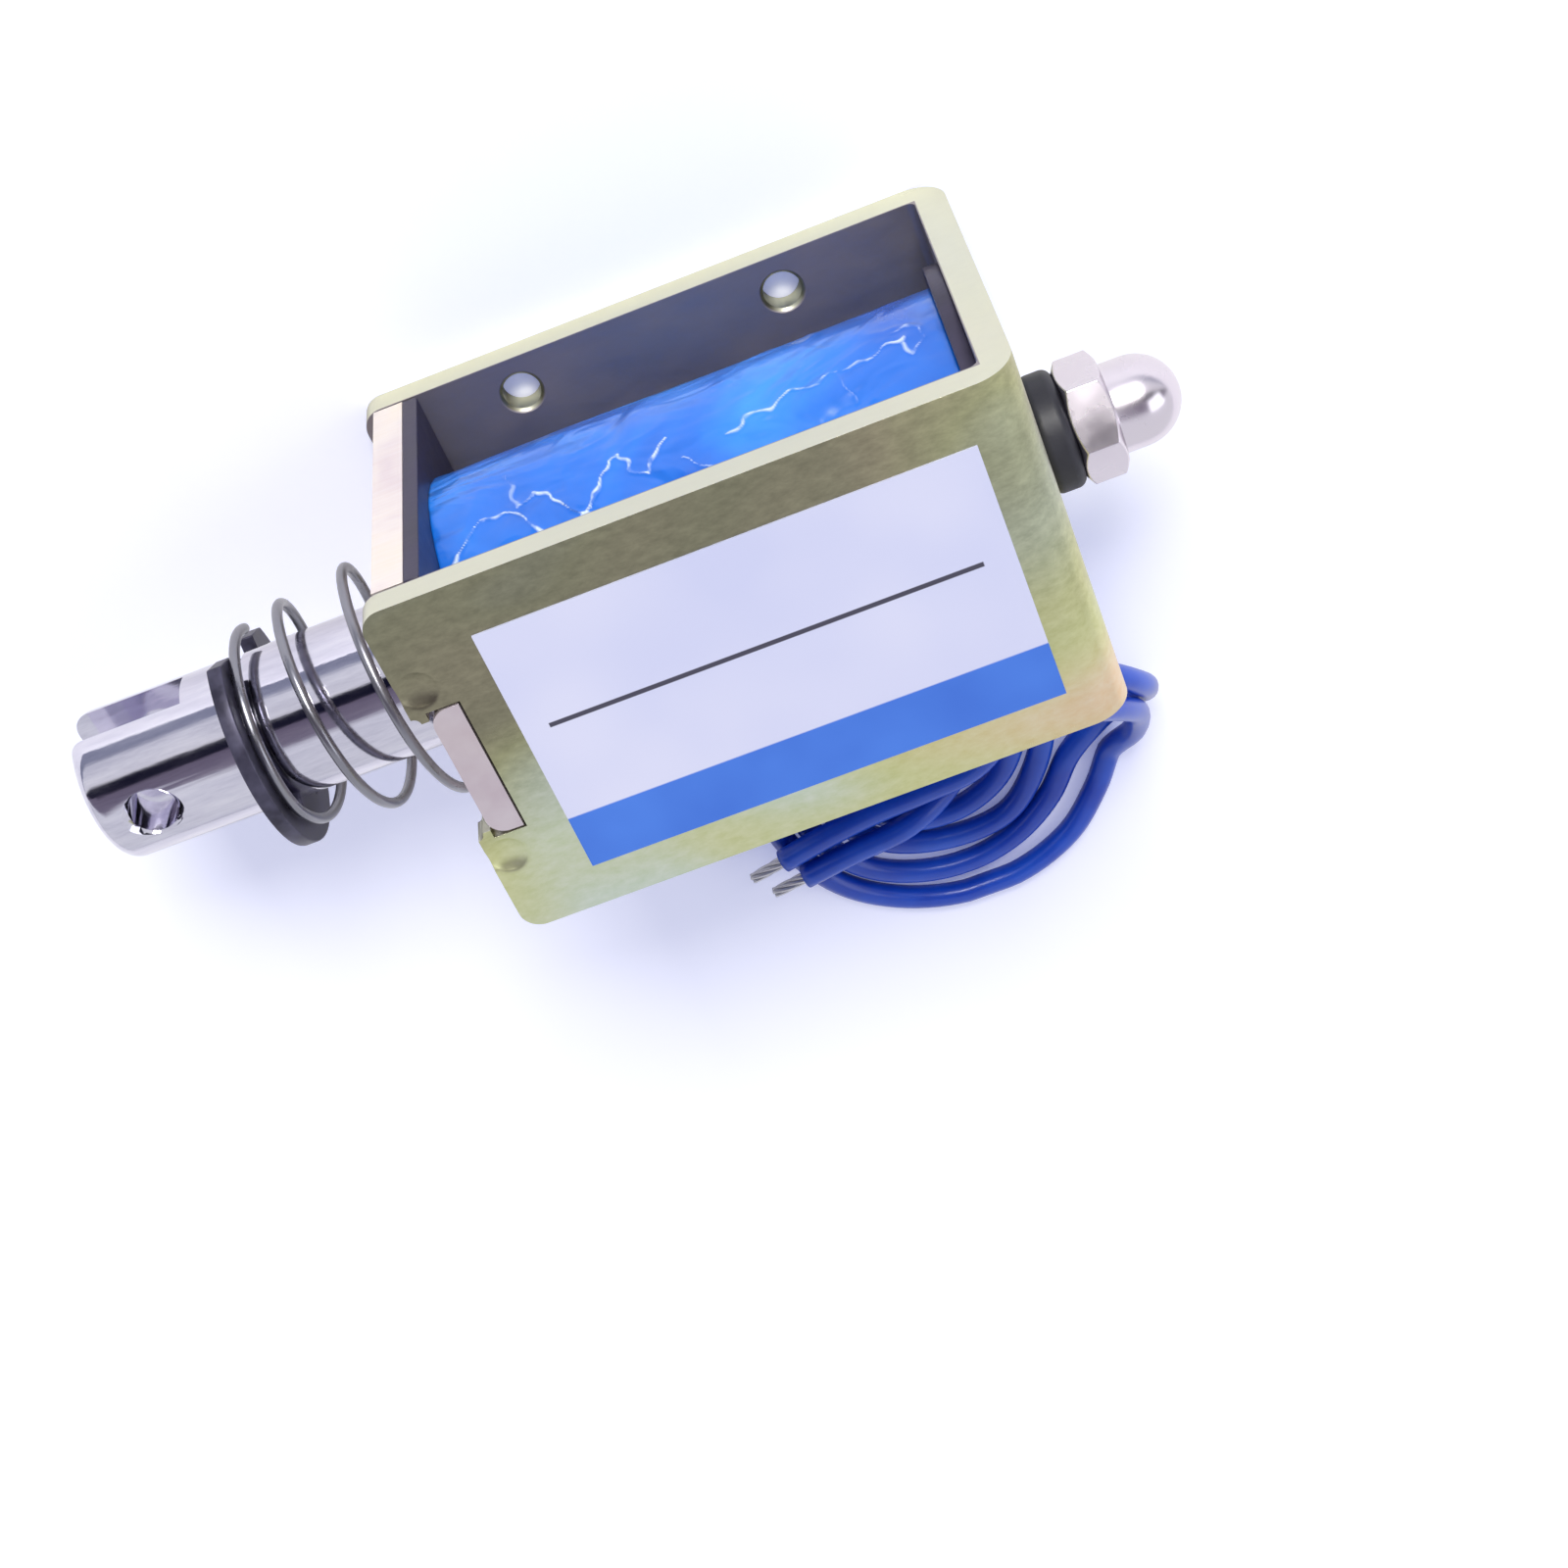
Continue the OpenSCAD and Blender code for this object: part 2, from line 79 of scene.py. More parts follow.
FRAME_HIGH = Vector(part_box("frame")[1])
TAPE_LOW, TAPE_HIGH = (Vector(c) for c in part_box("coil_tape"))
SPRING_LOW, SPRING_HIGH = (Vector(c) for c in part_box("return_spring"))
LABEL_LOW, LABEL_HIGH = (Vector(c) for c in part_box("label"))
PLUNGER_LOW, PLUNGER_HIGH = (Vector(c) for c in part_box("plunger"))
AXIS_Z = (PLUNGER_LOW.z + PLUNGER_HIGH.z) / 2
TAPE_R = (TAPE_HIGH.z - TAPE_LOW.z) / 2
SHEET_T = 2 * MM  # the frame's steel strip


# ---------------------------------------------------------------- shader helpers

def srgb(r, g, b):
    """A colour given as 0 to 255 values, as linear RGBA."""
    def one(v):
        v /= 255
        return v / 12.92 if v <= 0.04045 else ((v + 0.055) / 1.055) ** 2.4
    return (one(r), one(g), one(b), 1)


def fill_ramp(ramp, stops):
    """Sets a colour ramp's stops, each a place from 0 to 1 and a colour or a grey."""
    while len(ramp.elements) < len(stops):
        ramp.elements.new(0.5)
    for element, (place, colour) in zip(ramp.elements, stops):
        element.position = place
        element.color = colour if hasattr(colour, "__len__") else (colour,) * 3 + (1,)


class Nodes:
    """A material's node tree with short calls for what this scene needs."""

    def __init__(self, name):
        self.mat = bpy.data.materials.new(name)
        self.mat.use_nodes = True
        self.tree = self.mat.node_tree
        self.tree.nodes.clear()
        self.out = self.add("ShaderNodeOutputMaterial")
        self.bsdf = self.add("ShaderNodeBsdfPrincipled")
        self.link(self.bsdf.outputs["BSDF"], self.out.inputs["Surface"])
        self.coord = self.add("ShaderNodeTexCoord").outputs["Object"]

    def add(self, kind, **values):
        """A new node with its properties set."""
        node = self.tree.nodes.new(kind)
        for key, value in values.items():
            setattr(node, key, value)
        return node

    def link(self, a, b):
        self.tree.links.new(a, b)

    def put(self, value, socket):
        """Links a socket, or writes a plain number or colour."""
        if hasattr(value, "is_linked"):
            self.link(value, socket)
        else:
            socket.default_value = value

    def set(self, **values):
        """Constants on the shader's own sockets."""
        for key, value in values.items():
            self.bsdf.inputs[key.replace("_", " ")].default_value = value
        return self

    def scaled(self, scale):
        """Object coordinates stretched along the axes: below 1 draws a texture out."""
        m = self.add("ShaderNodeMapping")
        m.inputs["Scale"].default_value = scale
        self.link(self.coord, m.inputs["Vector"])
        return m.outputs["Vector"]

    def noise(self, scale, detail=3.0, rough=0.5, vector=None, distortion=0.0):
        n = self.add("ShaderNodeTexNoise")
        n.inputs["Scale"].default_value = scale
        n.inputs["Detail"].default_value = detail
        n.inputs["Roughness"].default_value = rough
        n.inputs["Distortion"].default_value = distortion
        self.link(vector or self.coord, n.inputs["Vector"])
        return n.outputs["Fac"]

    def ramp(self, fac, stops):
        r = self.add("ShaderNodeValToRGB")
        fill_ramp(r.color_ramp, stops)
        self.link(fac, r.inputs["Fac"])
        return r.outputs["Color"]

    def mix(self, fac, a, b, blend="MIX"):
        m = self.add("ShaderNodeMix", data_type="RGBA", blend_type=blend)
        for value, key in ((fac, "Factor"), (a, "A"), (b, "B")):
            self.put(value, m.inputs[key])
        return m.outputs["Result"]

    def math(self, operation, a, b=0.0):
        m = self.add("ShaderNodeMath", operation=operation)
        self.put(a, m.inputs[0])
        self.put(b, m.inputs[1])
        return m.outputs["Value"]

    def times(self, a, b):
        return self.math("MULTIPLY", a, b)

    def axis(self, letter):
        """One object coordinate, in metres."""
        s = self.add("ShaderNodeSeparateXYZ")
        self.link(self.coord, s.inputs["Vector"])
        return s.outputs[letter]

    def range(self, value, low, high, to_low=0.0, to_high=1.0):
        """A value's span from low to high, spread over to_low to to_high and held there beyond it."""
        m = self.add("ShaderNodeMapRange", clamp=True)
        for key, number in (("From Min", low), ("From Max", high), ("To Min", to_low), ("To Max", to_high)):
            m.inputs[key].default_value = number
        self.link(value, m.inputs["Value"])
        return m.outputs["Result"]

    def bump(self, height, distance, strength=1.0):
        b = self.add("ShaderNodeBump")
        b.inputs["Distance"].default_value = distance
        b.inputs["Strength"].default_value = strength
        self.link(height, b.inputs["Height"])
        self.link(b.outputs["Normal"], self.bsdf.inputs["Normal"])
        return self

    def colour(self, socket):
        self.link(socket, self.bsdf.inputs["Base Color"])
        return self

    def rough(self, fac, low, high):
        """Roughness from low to high with a texture's middle values."""
        self.link(self.range(fac, 0.3, 0.7, low, high), self.bsdf.inputs["Roughness"])
        return self


# ---------------------------------------------------------------- materials

def yellow_zinc():
    """Yellow passivated zinc on rolled steel: fine grain under straw, green and pink films, painted shade
    inside the U and a painted highlight along the strip's edges.
    """
    n = Nodes("yellow_zinc")
    x, y, height = (n.axis(letter) for letter in "XYZ")
    film = n.noise(34, 2, 0.5, distortion=0.7)
    tone = n.ramp(film, [(0.36, srgb(214, 226, 206)), (0.46, srgb(216, 218, 160)),
                         (0.54, srgb(226, 218, 166)), (0.64, srgb(240, 214, 178))])

    # darker and greyer towards the +Y edge, and less so towards the web
    drift = n.math("ADD", y, n.times(film, 14 * MM))
    greyer_towards_y = n.times(n.range(drift, -1 * MM, 10 * MM), n.range(x, 9 * MM, 19 * MM, 0.86, 0.5))
    tone = n.mix(greyer_towards_y, tone, srgb(122, 119, 104))

    grain = n.noise(1700, 3, 0.7, n.scaled((0.5, 1, 1)))
    streaks = n.noise(240, 4, 0.65, n.scaled((0.5, 1.2, 1.2)))
    tone = n.mix(0.26, tone, n.ramp(grain, [(0.3, 0.25), (0.7, 0.85)]), "OVERLAY")
    tone = n.mix(0.16, tone, n.ramp(streaks, [(0.3, 0.3), (0.7, 0.8)]), "OVERLAY")

    # the strip's edges that face along Y get a painted highlight, a paler colour
    facing = n.add("ShaderNodeSeparateXYZ")
    n.link(n.add("ShaderNodeTexCoord").outputs["Normal"], facing.inputs["Vector"])
    edge_highlight = n.range(n.math("ABSOLUTE", facing.outputs["Y"]), 0.45, 0.85)
    tone = n.mix(n.times(edge_highlight, 0.85), tone, srgb(236, 236, 214))

    # the faces inside the U get painted shade, a darker grey, and are rougher: the mask starts within the
    # strip, so a whole face has it
    skin = 0.1 * MM
    under, over, end = SHEET_T, FRAME_HIGH.z - SHEET_T, FRAME_HIGH.x - SHEET_T
    inside = n.times(n.range(height, under - skin, under - skin / 2),
                     n.range(height, over + skin / 2, over + skin, 1, 0))
    inside = n.times(inside, n.range(x, end + skin / 2, end + skin, 1, 0))
    # painted shade: the faces inside the U are drawn in a darker grey
    tone = n.mix(n.times(inside, 0.9), tone, srgb(160, 152, 158))

    rough = n.math("ADD", n.range(streaks, 0.3, 0.7, 0.26, 0.42), n.times(inside, 0.28))
    n.link(rough, n.bsdf.inputs["Roughness"])
    n.colour(tone).set(Metallic=1.0)
    return n.bump(grain, 0.012 * MM, 0.7).mat


def pale_zinc():
    """The end plate's clear zinc: brushed, warm and pale, and greyer on the tabs in the frame's notches."""
    n = Nodes("pale_zinc")
    clouds = n.noise(160, 3, 0.5, distortion=0.4)
    tone = n.ramp(clouds, [(0.32, srgb(236, 222, 222)), (0.5, srgb(248, 238, 230)),
                           (0.68, srgb(250, 238, 222))])
    tab_foot, soft = FRAME_HIGH.z - SHEET_T, 0.1 * MM
    tabs = n.range(n.axis("Z"), tab_foot - soft, tab_foot + soft, 0, 0.8)
    tone = n.mix(tabs, tone, srgb(198, 184, 194))
    brushed = n.noise(300, 3, 0.6, n.scaled((1, 1, 14)))
    tone = n.mix(0.25, tone, n.ramp(brushed, [(0.3, 0.3), (0.7, 0.9)]), "OVERLAY")
    n.colour(tone).rough(brushed, 0.3, 0.48).set(Metallic=0.75)
    return n.bump(brushed, 0.02 * MM, 0.6).mat


def plated(name, colour, low, high):
    """Bright plating with faint turning lines round the X axis, and its roughness from low to high."""
    n = Nodes(name)
    lines = n.noise(500, 2, 0.5, n.scaled((8, 1, 1)))
    clouds = n.noise(260, 3, 0.5)
    tone = n.mix(0.1, colour, n.ramp(clouds, [(0.3, 0.2), (0.7, 0.9)]), "OVERLAY")
    n.colour(tone).rough(clouds, low, high).set(Metallic=1.0)
    return n.bump(lines, 0.006 * MM, 0.35).mat


def worn_chrome():
    """The plunger's plating: drawn lines along its length and rubbed, mottled patches."""
    n = Nodes("worn_chrome")
    drawn = n.noise(900, 3, 0.6, n.scaled((0.05, 1, 1)))
    rubbed = n.noise(1000, 4, 0.7, n.scaled((0.16, 1, 1)))
    tone = n.ramp(rubbed, [(0.3, srgb(206, 204, 219)), (0.5, srgb(221, 219, 232)),
                           (0.7, srgb(233, 231, 241))])
    n.colour(tone).rough(rubbed, 0.05, 0.14).set(Metallic=1.0)
    height = n.math("ADD", drawn, n.times(rubbed, 1.2))
    return n.bump(height, 0.01 * MM, 0.5).mat


def black_oxide():
    """The clip's blackened spring steel."""
    n = Nodes("black_oxide")
    clouds = n.noise(420, 3, 0.6)
    n.colour(n.ramp(clouds, [(0.35, srgb(52, 50, 66)), (0.7, srgb(92, 90, 112))]))
    n.rough(clouds, 0.32, 0.5).set(Metallic=0.55)
    return n.bump(n.noise(1600, 2, 0.5), 0.015 * MM, 0.5).mat


def moulded_black(name, dark, light, low, high):
    """Dark moulded plastic or rubber with a fine skin texture."""
    n = Nodes(name)
    clouds = n.noise(240, 3, 0.6)
    n.colour(n.ramp(clouds, [(0.3, dark), (0.72, light)]))
    n.rough(clouds, low, high)
    return n.bump(n.noise(1400, 2, 0.6), 0.02 * MM, 0.6).mat


def blue_tape():
    """Thin polyester tape: glossy and slack, with a near-white painted highlight where the piece's "lift"
    attribute marks a crease.
    """
    n = Nodes("blue_tape")
    clouds = n.noise(90, 3, 0.5, distortion=0.5)
    tone = n.ramp(clouds, [(0.3, srgb(0, 86, 196)), (0.52, srgb(4, 112, 222)), (0.72, srgb(34, 144, 242))])
    # painted highlight: the creases are drawn near white, broken up by noise
    lift = n.add("ShaderNodeAttribute", attribute_name="lift").outputs["Fac"]
    broken = n.range(n.noise(700, 2, 0.6), 0.42, 0.52, 0.12, 1)
    tone = n.mix(n.times(n.range(lift, 0.2, 0.9), broken), tone, srgb(214, 230, 252))
    n.colour(tone).rough(clouds, 0.26, 0.36)
    n.set(Coat_Weight=0.6, Coat_Roughness=0.05)
    slack = n.noise(130, 2, 0.45, n.scaled((1, 1.5, 1.5)), distortion=1.2)
    return n.bump(slack, 1.5 * MM, 0.9).mat


def blue_pvc():
    """The leads' insulation."""
    n = Nodes("blue_pvc")
    clouds = n.noise(200, 3, 0.5)
    n.colour(n.ramp(clouds, [(0.3, srgb(8, 58, 178)), (0.7, srgb(22, 86, 208))])).rough(clouds, 0.28, 0.4)
    n.set(Coat_Weight=0.3, Coat_Roughness=0.15)
    return n.bump(n.noise(900, 2, 0.5), 0.02 * MM, 0.4).mat


def copper():
    """Enamelled wire wound turn by turn along the coil."""
    n = Nodes("enamelled_copper")
    turns = n.add("ShaderNodeTexWave", wave_type="BANDS", bands_direction="X")
    turns.inputs["Scale"].default_value = 1100
    n.link(n.coord, turns.inputs["Vector"])
    n.colour(n.ramp(n.noise(300), [(0.3, srgb(120, 52, 24)), (0.7, srgb(190, 100, 56))]))
    n.set(Metallic=1.0, Roughness=0.25)
    return n.bump(turns.outputs["Fac"], 0.1 * MM).mat


def brass():
    """The drawn guide tube."""
    n = Nodes("drawn_brass")
    lines = n.noise(420, 3, 0.5, n.scaled((3, 1, 1)))
    n.colour(n.ramp(lines, [(0.3, srgb(196, 158, 88)), (0.7, srgb(222, 190, 120))])).rough(lines, 0.2, 0.36)
    return n.set(Metallic=1.0).bump(lines, 0.01 * MM, 0.4).mat


def sleeve_cloth():
    """The woven sleeves over the splices."""
    n = Nodes("sleeve_cloth")
    weave = n.noise(1500, 2, 0.6)
    n.colour(n.ramp(weave, [(0.3, srgb(196, 192, 180)), (0.7, srgb(236, 234, 226))])).rough(weave, 0.5, 0.7)
    return n.bump(weave, 0.05 * MM, 0.7).mat


def label_film():
    """Pale film with a blue band and one plain rule line, and nothing written on it."""
    n = Nodes("label_film")
    y, x = n.axis("Y"), n.axis("X")
    length, width = LABEL_HIGH.x - LABEL_LOW.x, LABEL_HIGH.y - LABEL_LOW.y
    soft = 0.05 * MM  # the printed edges' softness
    paper = n.ramp(n.noise(70, 2, 0.5), [(0.35, srgb(200, 204, 233)), (0.65, srgb(213, 215, 237))])

    band_top = LABEL_LOW.y + 0.216 * width
    band = n.range(y, band_top - soft, band_top + soft, 1, 0)
    ink = n.ramp(n.noise(150, 2), [(0.3, srgb(54, 108, 208)), (0.7, srgb(66, 122, 220))])
    printed = n.mix(band, paper, ink)

    rule_y, rule_half = LABEL_LOW.y + 0.588 * width, 0.14 * MM
    across = n.times(n.range(y, rule_y - rule_half - soft, rule_y - rule_half),
                     n.range(y, rule_y + rule_half, rule_y + rule_half + soft, 1, 0))
    start, stop = LABEL_LOW.x + 0.055 * length, LABEL_HIGH.x - 0.064 * length
    along = n.times(n.range(x, start - soft, start), n.range(x, stop, stop + soft, 1, 0))
    printed = n.mix(n.times(across, along), printed, srgb(62, 60, 78))

    n.colour(printed).rough(n.noise(400, 3), 0.32, 0.45).set(Coat_Weight=0.1)
    return n.bump(n.noise(260, 2, 0.5), 0.03 * MM, 0.35).mat


# ---------------------------------------------------------------- pieces

def give(obj, material):
    obj.data.materials.clear()
    obj.data.materials.append(material)


def new_piece(name, mesh, material, body, replaced):
    """A visible piece that rides on a body and stands for the CAD node it replaces."""
    obj = bpy.data.objects.new(name, mesh)
    bpy.context.scene.collection.objects.link(obj)
    give(obj, material)
    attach(obj, body)
    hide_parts(replaced)
    return obj


WELD = 0.002 * MM           # points nearer than this are one
FLAT = math.radians(0.8)    # faces that meet below this angle are one face
SHARP = math.radians(32)    # edges above this angle are broken
CREASED = math.radians(40)  # edges above this angle shade as sharp


def broken_edges(node, width, material, body):
    """A copy of a CAD node with its sharp edges broken, as they are on a real stamped or turned piece."""
    mesh = frame["nodes"][node].data.copy()
    work = bmesh.new()
    work.from_mesh(mesh)
    bmesh.ops.remove_doubles(work, verts=work.verts, dist=WELD)
    bmesh.ops.dissolve_limit(work, angle_limit=FLAT, verts=work.verts, edges=work.edges)
    sharp = [e for e in work.edges if len(e.link_faces) == 2 and e.calc_face_angle(0) > SHARP]
    bmesh.ops.bevel(work, geom=sharp, offset=width, segments=2, profile=0.6,
                    affect="EDGES", clamp_overlap=True)
    for face in work.faces:
        face.smooth = True
    work.to_mesh(mesh)
    work.free()
    mesh.set_sharp_from_angle(angle=CREASED)
    piece = new_piece(node + "_dressed", mesh, material, body, node)
    weighted = piece.modifiers.new("normals", "WEIGHTED_NORMAL")
    weighted.keep_sharp = True


def tube_mesh(name, path, radius, sides=16):
    """A round tube with flat ends, along points that never turn sharply."""
    mesh = bpy.data.meshes.new(name)
    work = bmesh.new()
    up = Vector((0, 0, 1))
    rings = []
    for i, p in enumerate(path):
        ahead = (path[min(i + 1, len(path) - 1)] - path[max(i - 1, 0)]).normalized()
        side = up - ahead * up.dot(ahead)
        side = side.normalized() if side.length > 1e-6 else ahead.orthogonal().normalized()
        up = side
        other = ahead.cross(side)
        rings.append([work.verts.new(p + radius * (math.cos(a) * side + math.sin(a) * other))
                      for a in (2 * math.pi * k / sides for k in range(sides))])
    for low, high in zip(rings, rings[1:]):
        for k in range(sides):
            j = (k + 1) % sides
            work.faces.new((low[k], low[j], high[j], high[k]))
    work.faces.new(rings[0][::-1])
    work.faces.new(rings[-1])
    bmesh.ops.recalc_face_normals(work, faces=work.faces)
    for face in work.faces:
        face.smooth = len(face.verts) == 4
    work.to_mesh(mesh)
    work.free()
    return mesh


# creases where the tape has lifted: strength, then points of (share of the coil's length, degrees up from +Y)
CREASES = [
    (0.9, [(0.02, 34), (0.05, 25), (0.09, 20), (0.14, 19), (0.18, 24), (0.20, 33)]),
    (0.5, [(0.15, 2), (0.165, 12), (0.17, 19)]),
    (1.0, [(0.17, 19), (0.20, 15), (0.235, 19), (0.25, 26), (0.29, 31)]),
    (1.0, [(0.27, 32), (0.32, 24), (0.355, 14), (0.375, 13), (0.385, 20), (0.41, 25), (0.43, 21),
           (0.46, 14)]),
    (0.7, [(0.48, 24), (0.51, 29), (0.56, 32)]),
    (0.9, [(0.57, 23), (0.61, 19), (0.66, 17), (0.70, 15), (0.76, 14.5), (0.82, 13), (0.87, 12),
           (0.93, 9)]),
    (0.7, [(0.905, 5), (0.93, 3), (0.96, 7), (0.955, 14), (0.93, 17), (0.92, 11)]),
    (0.4, [(0.79, 15), (0.80, 21), (0.81, 28)])]
CREASE_HALF = 0.12 * MM
WANDER_ALONG = 0.45 * MM
WANDER_ROUND = 0.60 * MM

TAPE_RINGS = 260
FRONT_FROM = -18   # degrees up from +Y where the finely divided, creased front starts
FRONT_STEP = 0.6
FRONT_COUNT = 96
BACK_COUNT = 150
TAPE_DIP = 0.13    # how far the skin lies inside its solid, millimetres, before the relief below
SWELL_T = 0.05
FOLD_T = 0.05
CREASE_T = 0.12
DEEPEST_DIP = 0.18
FOLD_FROM = 0.8    # the fold noise shows above this value
RIM_SHARE = 0.97   # the skin's ends close in to this share of its radius


def crease_lift(u, degrees, length):
    """How far the tape stands up at a place on the coil, 0 to 1: the laid creases, made to wander."""
    arc = TAPE_R * math.radians(1)
    here = Vector((u * length, degrees * arc))
    wander = here.to_3d() / MM
    here.x += WANDER_ALONG * noise.noise(wander * 0.9)
    here.y += WANDER_ROUND * noise.noise(wander * 0.8 + Vector((5, 2, 8)))
    half = CREASE_HALF * (0.75 + 0.9 * noise.noise(wander * 0.7 + Vector((1, 9, 3))))
    lift = 0.0
    for strength, line in CREASES:
        places = [Vector((v * length, d * arc)) for v, d in line]
        for a, b in zip(places, places[1:]):
            t = max(0.0, min(1.0, (here - a).dot(b - a) / (b - a).length_squared))
            lift = max(lift, strength * math.exp(-((here - a.lerp(b, t)).length / half) ** 2))
    return lift


def tape_radius(u, degrees, lift):
    """The skin's radius at a place on the coil: slack swells, soft folds and creases, inside the solid."""
    a = math.radians(degrees)
    place = Vector((u * 2.6, math.cos(a) * 1.1, math.sin(a) * 1.1))
    swell = noise.noise(place * 1.6 + Vector((4, 0, 0)))
    fold = 1 - abs(noise.noise(place * 3.4 + Vector((0, 7, 0))))
    soft_fold = max(0.0, fold - FOLD_FROM) / (1 - FOLD_FROM)
    dip = TAPE_DIP + SWELL_T * swell - FOLD_T * soft_fold - CREASE_T * lift
    return TAPE_R - min(DEEPEST_DIP, max(0.0, dip)) * MM


def taped_coil(material):
    """The tape's outer skin: flattened wraps, and creases that gather on the open front."""
    x0, x1 = TAPE_LOW.x, TAPE_HIGH.x
    front = [FRONT_FROM + FRONT_STEP * k for k in range(FRONT_COUNT)]
    front_to = front[-1]
    back = [front_to + (FRONT_FROM + 360 - front_to) * k / BACK_COUNT for k in range(1, BACK_COUNT)]
    degrees = front + back
    mesh = bpy.data.meshes.new("taped_coil")
    work = bmesh.new()
    # the crease lift goes onto the skin too, where the tape material draws a painted highlight along the
    # creases
    lift_layer = work.verts.layers.float.new("lift")
    rings = []
    for i in range(TAPE_RINGS + 1):
        u = i / TAPE_RINGS
        ring = []
        for d in degrees:
            lift = crease_lift(u, d, x1 - x0) if d <= front_to else 0.0
            a, r = math.radians(d), tape_radius(u, d, lift)
            vert = work.verts.new((x0 + u * (x1 - x0), r * math.cos(a), AXIS_Z + r * math.sin(a)))
            vert[lift_layer] = lift
            ring.append(vert)
        rings.append(ring)
    around = len(degrees)
    for low, high in zip(rings, rings[1:]):
        for k in range(around):
            j = (k + 1) % around
            work.faces.new((low[k], low[j], high[j], high[k])).smooth = True
    for ring in (rings[0], rings[-1]):
        x = ring[0].co.x
        inner = [work.verts.new((x, v.co.y * RIM_SHARE, AXIS_Z + (v.co.z - AXIS_Z) * RIM_SHARE))
                 for v in ring]
        for k in range(around):
            j = (k + 1) % around
            work.faces.new((ring[k], inner[k], inner[j], ring[j]))
    bmesh.ops.recalc_face_normals(work, faces=work.faces)
    work.to_mesh(mesh)
    work.free()
    new_piece("taped_coil", mesh, material, "solenoid", "coil_tape")


SPRING_TURNS = 3.3
SPRING_CLOSED = 0.4  # turns that lie flat at each end
SPRING_STEPS = 64    # path points in a turn
SPRING_START = math.radians(-31)
SPRING_WIRE = 0.7 * MM
SPRING_SMALL_R = 6.4 * MM
SPRING_LARGE_R = 8.6 * MM


def spring(material):
    """The conical return spring, round wire, its end turns closed on the clip and the end plate."""
    x0, x1 = SPRING_LOW.x + SPRING_WIRE / 2, SPRING_HIGH.x - SPRING_WIRE / 2
    steps = int(SPRING_STEPS * SPRING_TURNS)
    path = []
    for i in range(steps + 1):
        t = i / steps
        a = SPRING_START + 2 * math.pi * SPRING_TURNS * t
        r = SPRING_SMALL_R + (SPRING_LARGE_R - SPRING_SMALL_R) * t
        rise = (SPRING_TURNS * t - SPRING_CLOSED) / (SPRING_TURNS - 2 * SPRING_CLOSED)
        path.append(Vector((x0 + (x1 - x0) * min(1.0, max(0.0, rise)),
                            r * math.cos(a), AXIS_Z + r * math.sin(a))))
    piece = new_piece("spring_wire", tube_mesh("spring_wire", path, SPRING_WIRE / 2), material,
                      "solenoid", "return_spring")
    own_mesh(piece)


# the leads' routes, millimetres, as in the part: out of the coil, down, twice round, then over the coil
LEAD_D = 1.8
FLOOR_Z = LEAD_D / 2 + 0.05
OVER_Z = FLOOR_Z + LEAD_D + 0.35
EXIT_X, EXIT_Y, EXIT_Z, EXIT_DZ = 15.0, -12.2, 13.25, 2.0
ROUTE_A = [
    (EXIT_X, EXIT_Y, EXIT_Z - EXIT_DZ),
    (EXIT_X, EXIT_Y - 2.6, EXIT_Z - EXIT_DZ), (16.9, -18.4, 10.9),
    (20, -21.4, 9.7), (22.1, -24.8, 7.4), (22.7, -28, 4.1),
    (21.5, -30.1, 1.4), (18.9, -31.5, FLOOR_Z), (16, -33.6, FLOOR_Z),
    (13.6, -36.6, FLOOR_Z), (10.4, -38.9, FLOOR_Z), (6.6, -39.9, FLOOR_Z),
    (2.7, -39.4, FLOOR_Z), (-0.8, -37.5, FLOOR_Z), (-3.1, -34.4, FLOOR_Z),
    (-4.1, -30.5, FLOOR_Z), (-3.7, -26.4, FLOOR_Z), (-1.8, -22.7, FLOOR_Z),
    (1.4, -20, FLOOR_Z), (5.4, -18.9, FLOOR_Z), (9.5, -19.7, FLOOR_Z),
    (12.4, -22.6, FLOOR_Z), (13.3, -26.6, FLOOR_Z), (12.6, -30.4, FLOOR_Z),
    (10.5, -33.3, FLOOR_Z), (7.3, -34.8, FLOOR_Z), (3.9, -34.6, FLOOR_Z),
    (1.2, -32.6, FLOOR_Z), (0.1, -29.2, 1.1), (0.4, -25.5, 2.5),
    (2.4, -22.2, OVER_Z), (5.7, -20.5, OVER_Z), (9.4, -21.1, OVER_Z),
    (12, -24, OVER_Z), (12, -27.8, OVER_Z), (9.3, -30.2, OVER_Z),
    (5.2, -30.7, OVER_Z), (1, -31, OVER_Z), (-3, -31.6, OVER_Z),
    (-6.4, -32.5, 2.9)]
